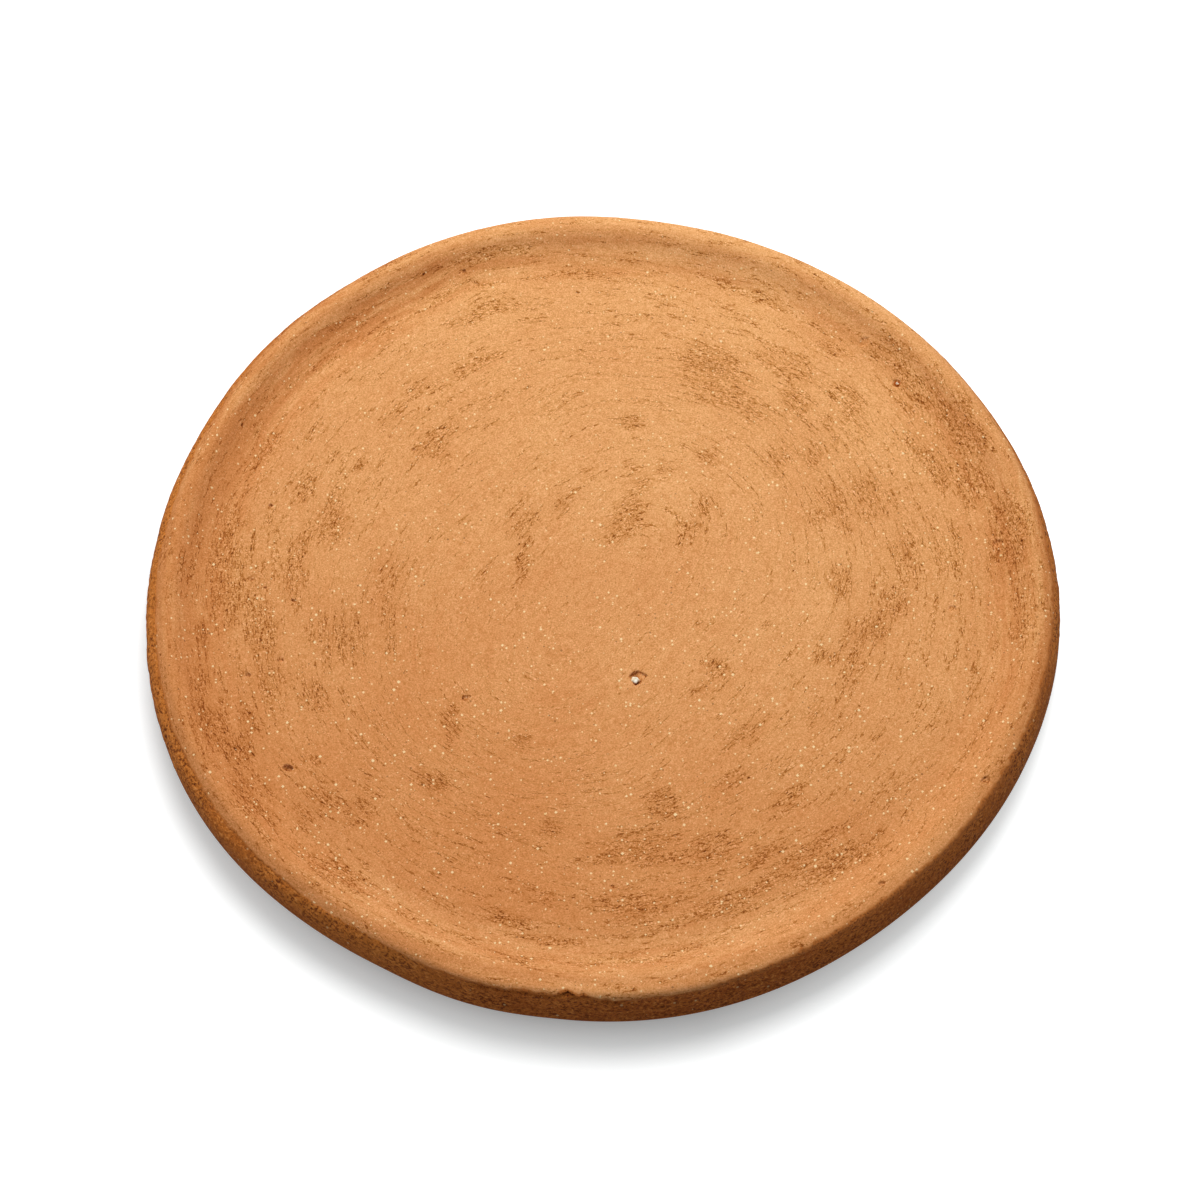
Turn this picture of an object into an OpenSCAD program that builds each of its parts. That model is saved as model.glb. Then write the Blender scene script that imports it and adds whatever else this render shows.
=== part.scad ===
// Clay comal: a round griddle of unglazed, fired earthenware.
// A patted slab carries a rolled coil for its rim, and a wiped coat of fine slip covers the
// cooking face and laps over the lip. Pale temper grains show in the face, and two burst
// nodules of lime lie in their pits.
// Sizes are in millimetres. +Z is up, and the origin is the middle of the face it rests on.

/* [Plate] */
// Widest diameter, across the rim
comal_d = 280; // [200:1:420]
// Height of the rim's crest above the table
rim_h = 22; // [18:0.5:32]
// Thickness in the middle, from the table to the cooking face
floor_t = 11; // [8:0.5:15]
// Rise of the cooking face from its middle to the inside of the rim
dish_rise = 6; // [3:0.5:9]
// Diameter of the flat that the plate rests on
rest_d = 100; // [60:1:150]

/* [Rim] */
// Radius of the lip's round crest
crest_r = 7.5; // [5.5:0.5:9]
// Radius of the corner where the lip turns down outside
corner_r = 2; // [1.25:0.25:4]
// Lean of the paddled outer wall from upright
wall_lean = 18; // [5:1:25]
// Radius of the round heel under the wall
heel_r = 4; // [2.5:0.5:6]
// Height of the rim's widest line, halfway round the heel
heel_h = 10.5; // [8:0.5:13]
// Radius of the cove where the coil is smeared down onto the slab
cove_r = 22; // [8:1:30]

/* [Slip] */
// Thickness of the slip coat
slip_t = 0.8; // [0.4:0.1:1.6]
// Where the slip ends on the lip's outer corner, as an angle above level
slip_end_angle = 50; // [30:1:60]

/* [Temper grains] */
// Number of grains that show in the cooking face
grain_count = 90; // [20:1:160]
// Diameter of the smallest grains
grain_d_min = 0.9; // [0.6:0.1:1.2]
// Diameter of the largest grains
grain_d_max = 1.6; // [1.2:0.1:2.4]
// Height that a grain stands out of the face
grain_proud = 0.3; // [0.1:0.05:0.5]

/* [Pits] */
// Width of the largest pit
pit_w = 5; // [3:0.1:8]
// Depth of a pit as a share of its width
pit_depth_share = 0.32; // [0.2:0.02:0.45]
// Diameter of the lime nodules
nodule_d = 2; // [1.2:0.1:2.6]

/* [Hidden] */
$fn = 180;

body_colour = "#B5763E";
slip_colour = "#D69D63";
grain_colour = "#EBCD9F";
lime_colour = "#F4E8D2";

// Steps along each round stretch of the section
face_steps = 20;
cove_steps = 10;
crest_steps = 14;
corner_steps = 6;
heel_steps = 14;
belly_steps = 16;

// Pits of the cooking face:
// [share of the way to the cove's foot, azimuth, share of the largest width, holds lime]
pits = [
    [0.27, -70, 1.0, true],
    [1.03, 38, 0.85, true],
    [1.06, 46, 0.7, false],
    [0.95, -146, 0.65, false],
    [1.05, 6, 0.55, false],
    [0.91, -4, 0.55, false],
];
// Clear margin between a grain and a pit, or a grain and the cove
grain_margin = 1.5;
// Angle between one grain and the next, which spreads them evenly
golden_angle = 137.508;
// Largest sideways scatter of a grain from its even place
grain_scatter = 4;
grain_seed = 7;

// The section, as points [distance from the axis, height]. Every round stretch is an arc that
// meets the next one without a corner.
comal_r = comal_d / 2;
heel_c = [comal_r - heel_r, heel_h];

// From the crest, the corner and the wall run down to the heel
crest_end_a = 68;
crest_z = rim_h - crest_r;
corner_z = crest_z + (crest_r - corner_r) * sin(crest_end_a);
wall_l = (corner_z + (corner_r - heel_r) * sin(wall_lean) - heel_h) / cos(wall_lean);
corner_c = [heel_c.x + (heel_r - corner_r) * cos(wall_lean) - wall_l * sin(wall_lean), corner_z];
crest_c = [corner_c.x - (crest_r - corner_r) * cos(crest_end_a), crest_z];

// The cooking face is an arc over the axis, through the inside of the crest's circle
face_edge_r = crest_c.x - crest_r;
face_r = (pow(face_edge_r, 2) + pow(dish_rise, 2)) / (2 * dish_rise);
face_c = [0, floor_t + face_r];

// The cove touches the face from above and the crest from inside
cove_c = circles_meet(crest_c, crest_r + cove_r, face_c, face_r - cove_r);
face_end_a = angle_of(cove_c - face_c);
cove_end_a = angle_of(crest_c - cove_c);
lip_start_a = angle_of(cove_c - crest_c);

// The belly leaves the resting flat level and runs into the heel
rest_r = rest_d / 2;
belly_r = (pow(heel_c.x - rest_r, 2) + pow(heel_c.y, 2) - pow(heel_r, 2)) / (2 * (heel_c.y - heel_r));
belly_c = [rest_r, belly_r];
belly_end_a = angle_of(heel_c - belly_c);

// Distance from the axis to the cove's foot, and to the last grains inside it
foot_r = face_r * cos(face_end_a);
grain_field_r = foot_r - grain_margin - grain_d_max;

// Direction of a vector, in degrees
function angle_of(v) = atan2(v.y, v.x);

// Of the two points at r1 from c1 and r2 from c2, the one to the left of the way from c1 to c2
function circles_meet(c1, r1, c2, r2) =
    let (gap = c2 - c1, span = norm(gap), along = (span * span + r1 * r1 - r2 * r2) / (2 * span))
    let (aside = sqrt(r1 * r1 - along * along), way = gap / span)
    c1 + along * way + aside * [-way.y, way.x];

// Points of an arc after its first one
function arc(centre, radius, start, end, steps) = [
    for (i = [1:steps])
        let (a = start + (end - start) * i / steps)
        centre + radius * [cos(a), sin(a)]
];
function reversed(points) = [for (i = [len(points) - 1:-1:0]) points[i]];

// The top of the section at a depth under the finished surface, from the axis outwards
function face_curve(depth) =
    concat([face_c - [0, face_r + depth]], arc(face_c, face_r + depth, -90, face_end_a, face_steps));
function cove_curve(depth) = arc(cove_c, cove_r + depth, face_end_a, cove_end_a, cove_steps);
function lip_curve(depth) =
    concat(
        arc(crest_c, crest_r - depth, lip_start_a, crest_end_a, crest_steps),
        arc(corner_c, corner_r - depth, crest_end_a, slip_end_angle, corner_steps)
    );
function top_curve(depth) = concat(face_curve(depth), cove_curve(depth), lip_curve(depth));

// The rim's bare side, from the slip's edge down the wall and round the heel to the belly
function side_curve() =
    concat(
        [corner_c + corner_r * [cos(slip_end_angle), sin(slip_end_angle)]],
        arc(corner_c, corner_r, slip_end_angle, wall_lean, corner_steps),
        [heel_c + heel_r * [cos(wall_lean), sin(wall_lean)]],
        arc(heel_c, heel_r, wall_lean, belly_end_a, heel_steps)
    );
function belly_curve() = arc(belly_c, belly_r, -90, belly_end_a, belly_steps);

// Height of the face, and of the cove beyond its foot, at a distance from the axis
function face_z(distance) = face_c.y - sqrt(face_r * face_r - distance * distance);
function cove_z(distance) = cove_c.y - sqrt(cove_r * cove_r - pow(distance - cove_c.x, 2));
function top_z(distance) = distance < foot_r ? face_z(distance) : cove_z(distance);
function on_top(distance, azimuth) =
    [distance * cos(azimuth), distance * sin(azimuth), top_z(distance)];

// Pits and grains, each as [place on the face, diameter]
function pit_place(pit) = on_top(pit[0] * foot_r, pit[1]);
function pit_width(pit) = pit[2] * pit_w;
function pit_depth(pit) = pit_width(pit) * pit_depth_share;
function clear_of_pits(place) =
    min([for (pit = pits) norm(place - pit_place(pit)) - pit_width(pit) / 2]) > grain_d_max / 2 + grain_margin;
scatter = rands(-grain_scatter, 0, grain_count, grain_seed);
grain_size = rands(grain_d_min, grain_d_max, grain_count, grain_seed + 1);
grains = [
    for (i = [0:grain_count - 1])
        let (even_r = grain_field_r * sqrt((i + 0.5) / grain_count))
        let (place = on_top(abs(even_r + scatter[i]), i * golden_angle))
        if (clear_of_pits(place)) [place, grain_size[i]]
];

// Solid of revolution of a section
module turned(section) rotate_extrude() polygon(section);

// Round hollows of the pits
module pit_hollows() {
    for (pit = pits) {
        half = pit_width(pit) / 2;
        depth = pit_depth(pit);
        ball_r = (half * half + depth * depth) / (2 * depth);
        translate(pit_place(pit) + [0, 0, ball_r - depth]) sphere(r = ball_r);
    }
}

module grain_balls() {
    for (grain = grains) {
        translate(grain[0] + [0, 0, grain_proud - grain[1] / 2]) sphere(d = grain[1], $fn = 24);
    }
}

// Each nodule is sunk to its middle in the floor of its pit
module nodule_balls() {
    for (pit = pits) {
        if (pit[3]) translate(pit_place(pit) - [0, 0, pit_depth(pit)]) sphere(d = nodule_d, $fn = 48);
    }
}

// Patted slab, with a scarfed edge that the rim is luted onto
module clay_slab() {
    section = concat(
        [[0, 0], [rest_r, 0]],
        belly_curve(),
        reversed(face_curve(slip_t))
    );
    color(body_colour) difference() {
        turned(section);
        pit_hollows();
        grain_balls();
        nodule_balls();
    }
}

// Rolled coil, paddled upright outside, smeared down inside to the foot of the cove and rebated
// for the slip
module rim_coil() {
    foot = face_curve(slip_t)[face_steps];
    section = concat([foot], cove_curve(slip_t), lip_curve(slip_t), side_curve());
    color(body_colour) difference() {
        turned(section);
        pit_hollows();
        nodule_balls();
    }
}

// Wiped slip over the cooking face, the cove and the lip
module slip_coat() {
    section = concat(top_curve(0), reversed(top_curve(slip_t)));
    color(slip_colour) difference() {
        turned(section);
        pit_hollows();
        grain_balls();
    }
}

// Pale grains of temper, each seated in its own pocket
module temper_grains() color(grain_colour) grain_balls();

// Burst nodules of lime
module lime_nodules() color(lime_colour) nodule_balls();

clay_slab();
rim_coil();
slip_coat();
temper_grains();
lime_nodules();
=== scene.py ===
import math
import random

import bpy
import numpy as np
from mathutils import Matrix, Vector, noise


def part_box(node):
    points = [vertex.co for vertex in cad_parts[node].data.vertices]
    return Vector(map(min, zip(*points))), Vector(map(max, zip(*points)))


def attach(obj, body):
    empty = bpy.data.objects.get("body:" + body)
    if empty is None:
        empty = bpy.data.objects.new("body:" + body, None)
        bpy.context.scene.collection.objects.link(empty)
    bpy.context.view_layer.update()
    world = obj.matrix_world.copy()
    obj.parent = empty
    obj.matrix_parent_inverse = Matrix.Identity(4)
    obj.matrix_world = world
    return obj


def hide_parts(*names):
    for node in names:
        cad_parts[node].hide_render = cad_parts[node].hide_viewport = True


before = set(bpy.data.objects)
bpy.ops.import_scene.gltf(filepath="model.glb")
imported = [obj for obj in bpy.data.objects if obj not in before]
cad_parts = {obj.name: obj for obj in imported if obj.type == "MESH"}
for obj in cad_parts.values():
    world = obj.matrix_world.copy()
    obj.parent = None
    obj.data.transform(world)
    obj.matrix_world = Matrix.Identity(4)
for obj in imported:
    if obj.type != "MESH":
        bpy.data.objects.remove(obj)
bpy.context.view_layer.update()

mm = 0.001
tiny = 0.01  # mm, less than any real distance here
hair = 0.1  # mm, for telling which face of a piece a vertex is on
scene = bpy.context.scene
print("frame loaded:", ", ".join(sorted(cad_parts)))

# The plate's section, in mm and degrees, with the sizes that its solids have
plate = {
    "radius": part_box("rim_coil")[1].x / mm,
    "rimHeight": 22.0,
    "floorThick": 11.0,  # table to cooking face, in the middle
    "dishRise": 6.0,
    "restRadius": 50.0,  # flat that it rests on
    "crestRadius": 7.5, "crestEnd": 68.0,
    "cornerRadius": 2.0,  # where the lip turns down outside
    "wallLean": 18.0,
    "heelRadius": 4.0, "heelHeight": 10.5,
    "coveRadius": 22.0,  # where the coil is smeared down onto the slab
    "slipThick": 0.8, "slipEnd": 50.0,
}
crestRadius, crestEnd, cornerRadius, wallLean = (
    plate[name] for name in ("crestRadius", "crestEnd", "cornerRadius", "wallLean"))
heelRadius, coveRadius, restRadius, slipThick = (
    plate[name] for name in ("heelRadius", "coveRadius", "restRadius", "slipThick"))

# A hand-turned plate is not quite round: lobes as (count, size in mm, direction of one high point)
outlineLobes = ((2, 0.15, -65), (3, 0.65, -12), (4, 0.55, 15), (5, 0.4, -12), (6, 0.3, -24))
# and bulges or flats as (azimuth, half width in degrees, mm)
outlineBulges = ((8, 26, 1), (82, 20, -0.6), (126, 12, -0.5), (157, 14, -0.4), (254, 12, 0.8), (350, 16, 0.5))
# Its lip goes up and down in waves, fully past the second distance from the axis
lipWave = {"height": 0.35, "length": 55.0, "span": (112.0, 130.0)}
# The lip is rounder on one side and squarer on the other, and the wall is fuller on the first one:
# rise along the normal by azimuth, about a path from the crest's top outwards, in mm
shoulder = {
    "path": 3.5, "span": 3.5,
    "rise": ((0, -0.2), (60, 0.1), (120, -0.2), (165, -0.7), (205, -0.8), (235, -0.5), (250, 0.4),
             (262, 1.0), (274, 0.9), (288, 0.5), (320, 0.2)),
}
wallSwell = {
    "path": 8.8, "span": 5.6,
    "rise": ((0, 0.9), (60, 0.5), (120, 0.8), (165, 1.4), (205, 1.4), (232, 1.1), (246, 0.5), (258, 0.1),
             (315, 0.1), (340, 0.5)),
}
# The cove is deeper on the left: depth by azimuth, and the distances and heights where it fades, in mm
coveHollow = {
    "depth": ((0, 0.3), (20, 0.3), (60, 0), (95, 0), (130, 1), (165, 1), (195, 0.7), (235, 0.1), (330, 0.2)),
    "fadeIn": (112.0, 123.0), "fadeOut": (127.0, 133.0), "above": (9.0, 13.0),
}


def angleOf(way):
    return math.degrees(math.atan2(way.y, way.x))


def towards(angle):  # one step outwards and upwards at this angle above level
    return Vector((math.cos(math.radians(angle)), math.sin(math.radians(angle))))


def circlesMeet(c1, r1, c2, r2):  # the meeting point on the left of the way from c1 to c2
    gap = c2 - c1
    along = (gap.length_squared + r1 * r1 - r2 * r2) / (2 * gap.length)
    aside = math.sqrt(r1 * r1 - along * along)
    way = gap.normalized()
    return c1 + along * way + aside * Vector((-way.y, way.x))


# The rim: heel, wall, corner and crest
heelCenter = Vector((plate["radius"] - heelRadius, plate["heelHeight"]))
crestHeight = plate["rimHeight"] - crestRadius
cornerOff = (crestRadius - cornerRadius) * towards(crestEnd)
heelOff = (heelRadius - cornerRadius) * towards(wallLean)
wallDown = Vector((math.sin(math.radians(wallLean)), -math.cos(math.radians(wallLean))))
wallLength = (heelCenter.y + heelOff.y - crestHeight - cornerOff.y) / wallDown.y
cornerCenter = heelCenter + heelOff - wallLength * wallDown
crestCenter = cornerCenter - cornerOff
# The cooking face and the cove
faceEdge = crestCenter.x - crestRadius
faceRadius = (faceEdge**2 + plate["dishRise"]**2) / (2 * plate["dishRise"])
faceCenter = Vector((0, plate["floorThick"] + faceRadius))
coveCenter = circlesMeet(crestCenter, crestRadius + coveRadius,
                         faceCenter, faceRadius - coveRadius)
faceEnd = angleOf(coveCenter - faceCenter)
coveEnd = angleOf(crestCenter - coveCenter)
lipStart = angleOf(coveCenter - crestCenter)
footRadius = faceRadius * math.cos(math.radians(faceEnd))
lipFoot = crestCenter.x + crestRadius * math.cos(math.radians(lipStart))
# The belly
bellyRadius = (((heelCenter.x - restRadius)**2 + heelCenter.y**2 - heelRadius**2)
               / (2 * (heelCenter.y - heelRadius)))
bellyCenter = Vector((restRadius, bellyRadius))
bellyEnd = angleOf(heelCenter - bellyCenter)
# Lengths along the section, from the axis to the crest's top and from there outwards
faceLength = math.radians(faceEnd + 90) * faceRadius
coveLength = math.radians(coveEnd - faceEnd) * coveRadius
crestPath = faceLength + coveLength + math.radians(lipStart - 90) * crestRadius
crestLength = math.radians(90 - crestEnd) * crestRadius
cornerLength = math.radians(crestEnd - wallLean) * cornerRadius
heelLength = math.radians(wallLean - bellyEnd) * heelRadius
outerLength = crestLength + cornerLength + wallLength + heelLength
slipLength = crestLength + math.radians(crestEnd - plate["slipEnd"]) * cornerRadius


def arcPoints(center, radius, start, end, spacing):  # points of an arc after its first one
    count = max(2, round(abs(math.radians(end - start)) * radius / spacing))
    return [center + radius * towards(start + (end - start) * i / count) for i in range(1, count + 1)]


def faceCurve(depth, spacing):  # axis to the cove's foot, at a depth under the finished face
    return ([faceCenter - Vector((0, faceRadius + depth))]
            + arcPoints(faceCenter, faceRadius + depth, -90, faceEnd, spacing))


def innerCurve(depth, spacing, lipSpacing):  # axis to the crest's top
    points = faceCurve(depth, spacing)
    points += arcPoints(coveCenter, coveRadius + depth, faceEnd, coveEnd, spacing)
    return points + arcPoints(crestCenter, crestRadius - depth, lipStart, 90, lipSpacing)


def pickBy(stretches, *values):  # at each place the value of its stretch, or else the last one
    return np.select(stretches, values[:-1], values[-1])


def outerWay(path):  # place and outward normal at a path from the crest's top out and down, as arrays
    afterCrest = path - crestLength
    afterCorner = afterCrest - cornerLength
    afterWall = afterCorner - wallLength
    stretches = [afterCrest < 0, afterCorner < 0, afterWall < 0]  # crest, corner and wall, or else the heel
    centers = crestCenter, cornerCenter, cornerCenter, heelCenter
    radius = pickBy(stretches, crestRadius, cornerRadius, cornerRadius, heelRadius)
    angle = np.radians(pickBy(stretches, 90 - np.degrees(path / crestRadius),
                              crestEnd - np.degrees(afterCrest / cornerRadius), wallLean,
                              wallLean - np.degrees(afterWall / heelRadius)))
    slide = pickBy(stretches, 0, 0, afterCorner, 0)
    r = pickBy(stretches, *(center.x for center in centers)) + radius * np.cos(angle) + slide * wallDown.x
    z = pickBy(stretches, *(center.y for center in centers)) + radius * np.sin(angle) + slide * wallDown.y
    return r, z, np.cos(angle), np.sin(angle)


def outerCurve(depth, end, spacing):  # crest's top outwards, after its first point
    path = np.linspace(0, end, max(3, round(end / spacing)) + 1)[1:]
    r, z, normalR, normalZ = outerWay(path)
    return [Vector(p) for p in zip(r - depth * normalR, z - depth * normalZ)]


def topWays(r, z):  # at each vertex of the top: unit normal, depth under the face, path from the axis
    lip = r > lipFoot
    corner = lip & (np.degrees(np.arctan2(z - crestCenter.y, r - crestCenter.x)) < crestEnd)
    stretches = [corner, lip, r > footRadius]  # corner, lip and cove, or else the face
    centers = cornerCenter, crestCenter, coveCenter, faceCenter
    radius = pickBy(stretches, cornerRadius, crestRadius, coveRadius, faceRadius)
    side = np.where(lip, 1.0, -1.0)  # the lip bulges, face and cove are hollow
    dr = r - pickBy(stretches, *(center.x for center in centers))
    dz = z - pickBy(stretches, *(center.y for center in centers))
    away = np.hypot(dr, dz)
    angle = np.degrees(np.arctan2(dz, dr))
    path = pickBy(stretches, crestPath + crestLength + np.radians(crestEnd - angle) * cornerRadius,
                  faceLength + coveLength + np.radians(lipStart - angle) * crestRadius,
                  faceLength + np.radians(angle - faceEnd) * coveRadius,
                  np.radians(angle + 90) * faceRadius)
    return side * dr / away, side * dz / away, side * (radius - away), path


def topHeight(r):  # height of the plain face and cove
    face = faceCenter.y - np.sqrt(faceRadius**2 - r**2)
    cove = coveCenter.y - np.sqrt(np.maximum(coveRadius**2 - (r - coveCenter.x)**2, 0))
    return np.where(r < footRadius, face, cove)


def editAll():  # the active mesh, with all of it selected
    bpy.ops.object.mode_set(mode="EDIT")
    bpy.ops.mesh.select_all(action="SELECT")


def lathePiece(name, points, steps):  # one vertex, drawn out along the section and swept round the axis
    bpy.ops.mesh.primitive_plane_add(size=mm, location=(points[0].x * mm, 0, points[0].y * mm))
    piece = bpy.context.object
    piece.name = piece.data.name = name
    editAll()
    bpy.ops.mesh.merge(type="CENTER")
    for here, there in zip(points, points[1:]):
        step = (there - here) * mm
        bpy.ops.mesh.extrude_vertices_move(TRANSFORM_OT_translate={"value": (step.x, 0, step.y)})
    bpy.ops.object.mode_set(mode="OBJECT")
    bpy.ops.object.transform_apply()
    sweep = piece.modifiers.new("sweep", "SCREW")
    sweep.steps = sweep.render_steps = steps
    bpy.ops.object.modifier_apply(modifier="sweep")
    editAll()
    bpy.ops.mesh.remove_doubles(threshold=mm * 0.001)
    bpy.ops.mesh.normals_make_consistent(inside=False)
    bpy.ops.object.mode_set(mode="OBJECT")
    return piece


def toFlat(r, azimuth):  # a distance from the axis and an azimuth as x and y
    return r * np.cos(np.radians(azimuth)), r * np.sin(np.radians(azimuth))


def turnFrom(middle, azimuth):  # degrees from one azimuth to others, the short way round
    return (azimuth - middle + 180) % 360 - 180


def tableAt(table, azimuth):  # between the entries of a table by azimuth
    return np.interp(azimuth, *zip(*table), period=360)


def readPolar(piece):  # each vertex as distance from the axis, azimuth in degrees and height, in mm
    places = np.empty(len(piece.data.vertices) * 3)
    piece.data.vertices.foreach_get("co", places)
    x, y, z = places.reshape(-1, 3).T / mm
    return np.hypot(x, y), np.degrees(np.arctan2(y, x)) % 360, z


def writePolar(piece, r, azimuth, z):  # and smooth, but for sharp edges
    piece.data.vertices.foreach_set("co", np.column_stack((*toFlat(r, azimuth), z)).ravel() * mm)
    piece.data.update()
    bpy.ops.object.shade_smooth_by_angle(angle=math.radians(60))


def storeValue(piece, name, values):  # a number on each vertex, for the material
    data = piece.data.attributes.new(name, "FLOAT", "POINT")
    data.data.foreach_set("value", values.astype(np.float32))


def noiseAt(*axes):
    return np.array([noise.noise(p) for p in np.column_stack(np.broadcast_arrays(*axes)).tolist()])


def layersAt(x, y, layers):  # noises of some height and size in mm, each on its own level of the noise
    return sum(height * noiseAt(x / size, y / size, level) for height, size, level in layers)


def roundNoise(azimuth, length, level):  # noise round the rim, with waves of some length in mm
    return noiseAt(*toFlat(plate["radius"] / length, azimuth), level)


def smooth(low, high, value):
    t = np.clip((value - low) / (high - low), 0, 1)
    return t * t * (3 - 2 * t)


def unevenHand(r, azimuth, z):  # the same unevenness for every piece, so that they still meet
    turn = np.radians(azimuth)
    lobe = sum(size * np.cos(count * (turn - math.radians(high))) for count, size, high in outlineLobes)
    for middle, half, size in outlineBulges:
        lobe = lobe + size * (1 - np.minimum((turnFrom(middle, azimuth) / half)**2, 1))**2
    wave = lipWave["height"] * roundNoise(azimuth, lipWave["length"], 3.7) * smooth(*lipWave["span"], r)
    inCove = smooth(*coveHollow["fadeIn"], r) * (1 - smooth(*coveHollow["fadeOut"], r))
    deeper = tableAt(coveHollow["depth"], azimuth) * smooth(*coveHollow["above"], z) * inCove
    return r + lobe * (r / plate["radius"])**2, z + wave - deeper


def shoulderRise(path, azimuth):  # along the normal, at a path from the crest's top
    rise = 0
    for form in (shoulder, wallSwell):
        reach = np.clip((path - form["path"]) / form["span"], -1, 1)
        rise = rise + tableAt(form["rise"], azimuth) * (1 - reach**2)**2
    return rise


# Painted shade on the slip: browner and darker in the cove and on the lip where the slopes turn from the
# lamp, and painted light where the share is below nought: share by azimuth, and the distances where it fades
slopeShading = {
    "cove": ((0, 0.5), (35, 0.3), (60, 0.4), (90, 0.4), (130, 0.85), (160, 0.6), (180, 0.5), (205, 0.3),
             (235, -0.4), (270, -0.4), (300, -0.2), (320, 0.1)),
    "coveIn": (108.0, 126.0), "coveOut": (130.0, 134.0),
    "lip": ((0, 0.9), (20, 0.4), (45, 0.0), (90, 0.15), (115, 0.6), (135, 1.1), (160, 0.6), (180, 0.6),
            (225, 0), (270, -0.3), (315, 0)),
    "lipIn": (131.0, 135.0),
}


def slopeShadingShare(r, azimuth):
    inCove = smooth(*slopeShading["coveIn"], r) * (1 - smooth(*slopeShading["coveOut"], r))
    onLip = smooth(*slopeShading["lipIn"], r)
    return tableAt(slopeShading["cove"], azimuth) * inCove + tableAt(slopeShading["lip"], azimuth) * onLip


# Where the hand or rag dragged the slip thin, read off the photograph.
# Strokes round the plate: distance from the axis, first and last azimuth, width, strength
wipeStrokes = (
    # back right
    (90, 60, 72, 8, 1.2), (82, 50, 70, 7, .7), (102, 47, 58, 5, .7), (93, 44, 51, 6, .7),
    (105, 37, 44, 6, .7), (94, 38, 42, 6, .4), (84, 32, 38, 8, .45), (74, 36, 42, 5, .4),
    (90, 16, 27, 7, .55), (80, 15, 27, 5, .7), (73, 18, 22, 5, .7), (113, 18, 28, 3, 1),
    (126, 20, 30, 8, .8), (121, 13, 20, 5, 1), (124, 30, 36, 7, .7), (126, 37, 44, 6, .5),
    (116, 47, 53, 3, .5), (120, 60, 66, 2, .8), (120, 68, 71, 2, .8), (117, 86, 98, 2, .7),
    (62, 77, 84, 3, .7), (46, 73, 81, 2, .5), (48, 61, 68, 4, .7), (58, 51, 57, 4, .7),
    (95, 0, 10, 3, 1), (105, 0, 12, 2, .4), (111, 1, 10, 2, .7), (127, 2, 12, 5, 1), (74, -3, 5, 4, .7),
    # back left
    (127, 103, 114, 2, .7), (108, 104, 115, 3, .7), (117, 125, 128, 2, .7), (91, 111, 121, 3, .8),
    (94, 126, 131, 2, .7), (73, 133, 139, 6, .7), (88, 148, 152, 2, .7), (117, 152, 160, 2, .7),
    (100, 156, 163, 3, .7), (87, 161, 169, 5, 1), (118, 170, 184, 4, 1), (115, 167, 171, 4, .7),
    (95, 169, 182, 3.5, 1), (108, 172, 188, 8, .4), (67, 170, 194, 7, .5), (26, 168, 182, 4, .4),
    # front left
    (114, 181, 189, 5, .7), (104, 184, 195, 5, 1), (122, 187, 191, 2, .7), (125, 195, 199, 3, .7),
    (126, 200, 207, 6, 1), (104, 195, 202, 8, .65), (82, 187, 199, 14, .55), (94, 202, 208, 4, .7),
    (115, 201, 207, 2, .7), (121, 206, 211, 4, .7), (121, 213, 218, 2, .7), (126, 212, 220, 4, .7),
    (110, 220, 225, 4, .7), (105, 225, 230, 6, .7), (117, 220, 225, 4, .4), (84, 230, 237, 4, 1),
    (58, 243, 249, 3, .7), (84, 258, 263, 3, .7), (106, 257, 265, 3, .4), (115, 254, 260, 4, .7),
    (119, 259, 267, 2, .7), (124, 227, 237, 5, .7), (126, 242, 246, 3, .4), (128, 258, 262, 2, .7),
    # front right
    (34, 335, 341, 4, .5), (45, 318, 325, 6, 1), (47, 306, 316, 3, .7), (53, 326, 330, 3, .4),
    (68, 305, 319, 4, .7), (80, 322, 329, 5, .4), (80, 344, 351, 6, .7), (86, 346, 354, 3, 1),
    (90, 353, 359, 5, 1), (74, 338, 342, 5, .7), (82, 335, 344, 4, .7), (128, 347, 359, 3, .7),
    (76, 280, 286, 5, .8), (92, 304, 310, 4, .55), (78, 295, 304, 2, .7), (95, 286, 294, 5, 1),
    (89, 271, 285, 8, .7), (94, 277, 289, 2, .9), (104, 294, 301, 3, .8), (110, 297, 313, 3, .8),
    (112, 284, 299, 2, 1), (116, 286, 294, 2, .7), (117, 301, 309, 4, .7), (119, 307, 313, 4, .7),
    (115, 280, 285, 3, .7), (107, 270, 280, 6, .7), (123, 278, 284, 2, .7), (124, 270, 277, 2, .7),
)
# Straight strokes over the middle: first end, last end, width, strength
middleStrokes = (
    ((3, 17), (13, 33), 7, 1), ((10, 34), (16, 41), 5, .7), ((31, 26), (36, 34), 6, .7),
    ((25, 16), (31, 25), 6, .7), ((-15, 27), (-9, 36), 5, .7), ((-8, 39), (-2, 46), 3, .4),
    ((-29, 20), (-21, 30), 6, .8),
    ((-56, 50), (-47, 59), 4, 1), ((-45.5, -56), (-44.5, -40), 2.5, .9),
    ((-23, 28), (-25.5, -4), 2, .7), ((-35, 12), (-38, -2), 3, .5),
)
# Pits: distance from the axis, azimuth, width, depth by width. The first six are in the solids too.
pits = (
    (32.6, -71, 4.8, 0.36), (120.4, 37.5, 2.6, 0.2), (123.5, 46, 3.2, 0.14), (111.7, -145.5, 2.6, 0.5),
    (122.8, 6, 2.6, 0.25), (107.3, -5, 2.4, 0.15), (123.7, 283, 1.6, 0.2), (101, 272, 1.4, 0.3),
    (56, 223.5, 2, 0.3), (100.3, 195.6, 1.5, 0.55), (110.8, 197, 1.4, 0.5), (124.3, 111, 1.1, 0.4),
    (120, 110, 1.1, 0.4), (107.7, 165, 1.3, 0.5), (86.5, 141, 1.1, 0.4), (77.6, 140, 1.1, 0.4),
    (109.7, 94, 1.1, 0.4), (132, 308, 2, 0.3), (133, 328, 2.2, 0.3), (108, 179.5, 1.4, 0.5),
    (103.5, 181, 1.2, 0.5), (94.7, 183.6, 1.3, 0.5),
)
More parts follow.
